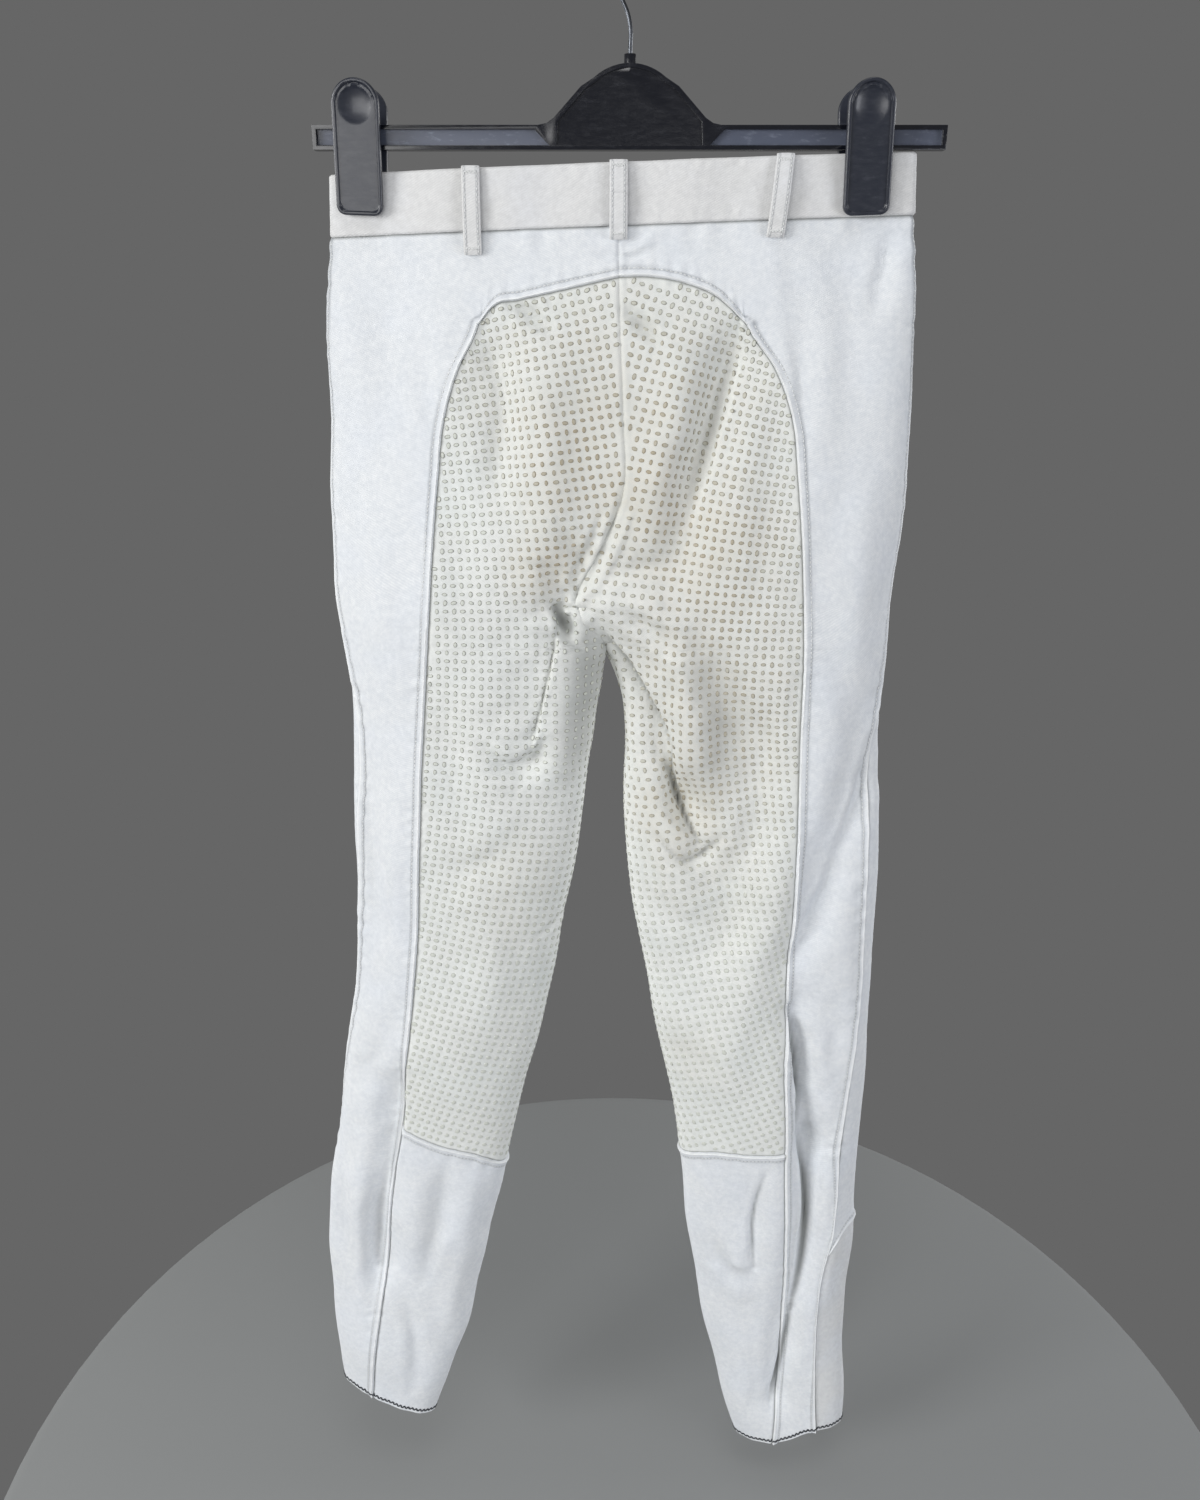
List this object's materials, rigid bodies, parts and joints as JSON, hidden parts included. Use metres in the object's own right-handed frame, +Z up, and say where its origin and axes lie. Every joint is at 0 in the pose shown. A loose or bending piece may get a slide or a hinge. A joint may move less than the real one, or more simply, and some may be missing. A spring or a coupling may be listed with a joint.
{
  "type": "riding breeches on a clip hanger",
  "caption": "Full-seat riding breeches with grip seat, belt loops and close calf, hung by the waistband from a clip hanger.",
  "frame": {"origin": "inner top of the hanger's hook, where a rail carries it", "axes": "+Z up, the back of the breeches faces -Y, +X is the wearer's right"},
  "size_m": [0.4049, 0.0567, 1.0688],
  "materials": {
    "white_cloth": "off-white stretch twill",
    "silicone_cloth": "pale knit printed with raised silicone dots",
    "elastic_cloth": "thin elastic knit",
    "black_plastic": "glossy moulded plastic",
    "button_plastic": "pale button",
    "steel_wire": "zinc-plated wire"
  },
  "bodies": {
    "root": {"left_back_panel": "white_cloth", "left_silicone_seat": "silicone_cloth", "left_calf_panel": "white_cloth", "left_front_panel": "white_cloth", "left_ankle_panel": "elastic_cloth", "right_back_panel": "white_cloth", "right_silicone_seat": "silicone_cloth", "right_calf_panel": "white_cloth", "right_front_panel": "white_cloth", "right_ankle_panel": "elastic_cloth", "waistband": "white_cloth", "belt_loop_back_left": "white_cloth", "belt_loop_back_centre": "white_cloth", "belt_loop_back_right": "white_cloth", "belt_loop_front_left": "white_cloth", "belt_loop_front_right": "white_cloth", "fly_flap": "white_cloth", "waist_button": "button_plastic", "hanger_bar": "black_plastic", "hook": "steel_wire", "clip_left_outer_lever": "black_plastic", "clip_left_inner_lever": "black_plastic", "clip_left_spring": "steel_wire", "clip_right_outer_lever": "black_plastic", "clip_right_inner_lever": "black_plastic", "clip_right_spring": "steel_wire"}
  },
  "joints": []
}
